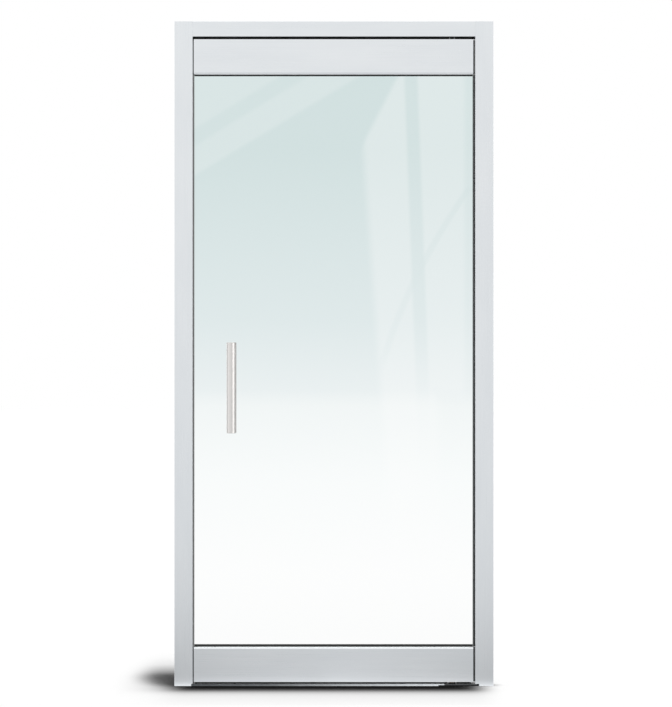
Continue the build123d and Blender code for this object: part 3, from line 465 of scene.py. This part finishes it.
def floor_paint():
    """Matt white studio floor. To what is shiny it glows instead, as a painted reflection: greyer round the door's
    foot as painted shade, least before its middle.

    Its roller marks lie 17 mm apart and are too faint to see.
    """
    material, tree, shader, place = start_material("matt_white_floor_paint")
    grain = pattern(tree, place, [16.7] * 3)
    white = add(tree, "ShaderNodeValToRGB", {"Fac": grain}, stops=tints("#fdfdfd", "#ffffff"))
    feed(tree, shader, {"Base Color": white, "Roughness": 1.0, "Specular IOR Level": 0.0})
    parts = add(tree, "ShaderNodeSeparateXYZ", {0: place}).outputs
    aside, ahead = (add(tree, "ShaderNodeMath", {0: part}, operation="ABSOLUTE") for part in parts[:2])
    middle = product(tree, profile(tree, aside, FLOOR_MIDDLE), profile(tree, ahead, FLOOR_MIDDLE_AHEAD))
    level = add(tree, "ShaderNodeMath", {0: profile(tree, ahead, FLOOR_AHEAD), 1: middle}, operation="ADD")
    path = add(tree, "ShaderNodeLightPath").outputs
    steepness = add(tree, "ShaderNodeMath", {0: path["Ray Length"], 1: ahead}, operation="SUBTRACT")
    from_above = add(tree, "ShaderNodeMix", {0: profile(tree, steepness, FLOOR_FROM_ABOVE), 2: level,
                                             3: FLOOR_STEEP_LEVEL})
    first = add(tree, "ShaderNodeMath", {0: path["Diffuse Depth"], 1: 0.5}, operation="LESS_THAN")
    # Painted reflection: the glow that mirrored rays see in place of the lit floor.
    seen = add(tree, "ShaderNodeEmission", {"Color": linear("#fcfdff"), "Strength": product(tree, from_above, first)})
    lay_over(tree, path["Is Glossy Ray"], shader, seen)
    return material


def start_net(name):
    """Black net. Its weave is far too fine to throw a pattern, so it only dims the lamp.

    A real weave is under 1 mm. It is drawn at 1.25 mm. No view shows it.
    """
    material, tree, shader, place = start_material(name)
    weave = pattern(tree, place, [1.25] * 3)
    feed(tree, shader, {"Base Color": add(tree, "ShaderNodeValToRGB", {"Fac": weave},
                                          stops=tints("#050505", "#101010"))})
    return material, tree, shader, add(tree, "ShaderNodeSeparateXYZ", {0: place}).outputs


def hang_net(net, along, across, low, high, height):
    """Make a net as dense as two levels multiplied together, and hang it where it only throws its shadow."""
    material, tree, shader, _ = net
    clear = add(tree, "ShaderNodeBsdfTransparent", {"Color": linear("#ffffff")})
    lay_over(tree, product(tree, along, across), clear, shader)
    card = stage_card(material.name, low, high, height, material)
    for kind in ("camera", "diffuse", "glossy", "transmission"):
        setattr(card, f"visible_{kind}", False)


def hang_foot_net():
    """Net that dims the lamp on the floor round the frame's foot."""
    net = start_net("black_net_foot")
    tree, parts = net[1], net[3]
    low, high = ((FOOT_NET_ALONG[end][0], FOOT_NET_ACROSS[end][0]) for end in (0, -1))
    hang_net(net, profile(tree, parts[0], FOOT_NET_ALONG), profile(tree, parts[1], FOOT_NET_ACROSS),
             low, high, NET_HEIGHT)


def hang_side_net():
    """Net with a rounded end, for the long shadow at the free edge."""
    net = start_net("black_net_side")
    tree, parts = net[1], net[3]
    raised = []
    for part, middle, reach in zip(parts, SIDE_NET_MIDDLE, SIDE_NET_REACH):
        shares = profile(tree, part, ((middle - SIDE_NET_PAST * reach, SIDE_NET_PAST), (middle, 0.0)))
        raised.append(add(tree, "ShaderNodeMath", {0: shares, 1: SIDE_NET_ROUNDNESS}, operation="POWER"))
    total = add(tree, "ShaderNodeMath", {0: raised[0], 1: raised[1]}, operation="ADD")
    away = add(tree, "ShaderNodeMath", {0: total, 1: 1 / SIDE_NET_ROUNDNESS}, operation="POWER")
    low = [middle - SIDE_NET[-1][0] * reach for middle, reach in zip(SIDE_NET_MIDDLE, SIDE_NET_REACH)]
    hang_net(net, profile(tree, away, SIDE_NET), profile(tree, parts[1], SIDE_NET_BACK),
             low, (SIDE_NET_MIDDLE[0], SIDE_NET_BACK[-1][0]), NET_HEIGHT + NET_SPACING)


def room_through_pane(tree, ways):
    """Colour of the room behind the pane, by direction."""
    away = add(tree, "ShaderNodeMath", {0: ways[1]}, operation="ABSOLUTE")
    depth = add(tree, "ShaderNodeMath", {0: away, 1: LEAST_DEPTH}, operation="MAXIMUM")
    x, y = (add(tree, "ShaderNodeMath",
                {0: add(tree, "ShaderNodeMath", {0: way, 1: depth}, operation="DIVIDE"),
                 1: side * VIEW_DISTANCE / METRES_PER_PIXEL, 2: middle}, operation="MULTIPLY_ADD")
            for way, side, middle in zip((ways[0], ways[2]), (1, -1), IMAGE_MIDDLE))

    def soft(value, stops):
        return profile(tree, value, stops, "EASE")

    def right_of(start, end):
        """Distance to the right of a slanting line."""
        slope = (end[0] - start[0]) / (end[1] - start[1])
        line = add(tree, "ShaderNodeMath", {0: y, 1: slope, 2: start[0] - slope * start[1]}, operation="MULTIPLY_ADD")
        return add(tree, "ShaderNodeMath", {0: x, 1: line}, operation="SUBTRACT")

    def band(distance, half, edge):
        """One on a line, and nothing aside of it."""
        aside = add(tree, "ShaderNodeMath", {0: distance}, operation="ABSOLUTE")
        return soft(aside, ((half, 1.0), (half + edge, 0.0)))

    # A lit panel at the right, with a darker strip at its far edge.
    foot = add(tree, "ShaderNodeMath", {0: soft(x, PANEL_FOOT_ALONG), 1: soft(y, PANEL_FOOT_DOWN)},
               operation="MAXIMUM")
    panel = product(tree, soft(right_of(*PANEL_UPPER_LEFT), PANEL_UPPER_EDGE),
                    soft(right_of(*PANEL_LOWER_LEFT), PANEL_LOWER_EDGE), soft(x, PANEL_RIGHT), foot)

    # A dark upright in it, and a dark cable that sags across it.
    upright = product(tree, band(right_of(*UPRIGHT), *UPRIGHT_BAND), soft(y, UPRIGHT_FADE))
    down = add(tree, "ShaderNodeMath", {0: y, 1: CABLE_TOP[1]}, operation="SUBTRACT")
    slope = add(tree, "ShaderNodeMath", {0: down, 1: CABLE_SAG, 2: CABLE_SLOPE}, operation="MULTIPLY_ADD")
    line = add(tree, "ShaderNodeMath", {0: down, 1: slope, 2: CABLE_TOP[0]}, operation="MULTIPLY_ADD")
    off_line = add(tree, "ShaderNodeMath", {0: x, 1: line}, operation="SUBTRACT")
    cable = product(tree, band(off_line, *CABLE_BAND), soft(y, CABLE_UPPER_END), soft(y, CABLE_LOWER_END))
    lit = product(tree, panel, all_but(tree, upright, UPRIGHT_DARK), all_but(tree, cable, CABLE_DARK))

    # A lit corner at the top left, with a darker streak along it.
    streak = band(right_of(*CORNER_STREAK), *CORNER_STREAK_BAND)
    corner = product(tree, soft(right_of(*CORNER), CORNER_EDGE), all_but(tree, streak, CORNER_STREAK_DARK))

    clear = add(tree, "ShaderNodeMath", {0: product(tree, lit, PANEL_LIGHT), 1: product(tree, corner, CORNER_LIGHT)},
                operation="ADD")
    share = add(tree, "ShaderNodeMath", {0: y, 1: ROOM_DEPTH}, operation="DIVIDE")
    fall = add(tree, "ShaderNodeValToRGB", {"Fac": share},
               stops=[(height / ROOM_DEPTH, linear(code)) for height, code in ROOM])
    return add(tree, "ShaderNodeMix", {"Factor": clear, 6: fall, 7: linear("#ffffff")}, data_type="RGBA").outputs[2]


def surround_with_studio():
    """White to the camera, the room through the glass, soft walls in the metal, and a dim grey for everything else."""
    world = bpy.data.worlds.new("studio")
    bpy.context.scene.world = world
    world.use_nodes = True
    tree = world.node_tree
    tree.nodes.clear()
    ways = add(tree, "ShaderNodeSeparateXYZ", {0: add(tree, "ShaderNodeTexCoord").outputs["Generated"]}).outputs

    ahead = product(tree, ways[1], -1.0)
    turn = add(tree, "ShaderNodeMath", {0: ways[0], 1: ahead}, operation="ARCTAN2")
    walls = product(tree, profile(tree, turn, [(math.radians(angle), level) for angle, level in WALLS]),
                    profile(tree, ways[2], WALLS_RISE, "EASE"))

    path = add(tree, "ShaderNodeLightPath").outputs
    first = add(tree, "ShaderNodeMath", {0: path["Diffuse Depth"], 1: 0.5}, operation="LESS_THAN")
    off_metal = add(tree, "ShaderNodeMath", {0: path["Glossy Depth"], 1: 0.5}, operation="GREATER_THAN")
    colour = linear("#202020")
    for share, seen in ((product(tree, first, off_metal), walls),
                        (product(tree, path["Is Transmission Ray"], first, all_but(tree, off_metal)),
                         room_through_pane(tree, ways)),
                        (path["Is Camera Ray"], linear("#ffffff"))):
        colour = add(tree, "ShaderNodeMix", {"Factor": share, 6: colour, 7: seen}, data_type="RGBA").outputs[2]
    background = add(tree, "ShaderNodeBackground", {"Color": colour, "Strength": 1.0})
    add(tree, "ShaderNodeOutputWorld", {"Surface": background})


def hang_lamp(name, strength, spread):
    """Soft lamp straight overhead, which the metal doesn't mirror."""
    lamp = bpy.data.lights.new(name, "SUN")
    lamp.energy = strength
    lamp.angle = math.radians(spread)
    holder = bpy.data.objects.new(name, lamp)
    holder.visible_glossy = False
    bpy.context.scene.collection.objects.link(holder)


def place_camera():
    lens = bpy.data.cameras.new("viewer")
    lens.sensor_width = SENSOR_WIDTH
    lens.lens = SENSOR_WIDTH * VIEW_DISTANCE / (PIXELS * METRES_PER_PIXEL)
    lens.clip_end = VIEW_REACH
    holder = bpy.data.objects.new("viewer", lens)
    holder.location = (VIEW_X, FRAME_FRONT - VIEW_DISTANCE, VIEW_HEIGHT)
    holder.rotation_euler = (math.radians(90), 0, 0)
    bpy.context.scene.collection.objects.link(holder)
    bpy.context.scene.camera = holder


floor = stage_card("studio_floor", [-FLOOR_REACH] * 2, [FLOOR_REACH] * 2, 0.0, floor_paint())
floor.visible_transmission = False
hang_foot_net()
hang_side_net()
surround_with_studio()
for lamp in LAMPS:
    hang_lamp(*lamp)
place_camera()
bpy.context.scene.view_settings.view_transform = "Standard"
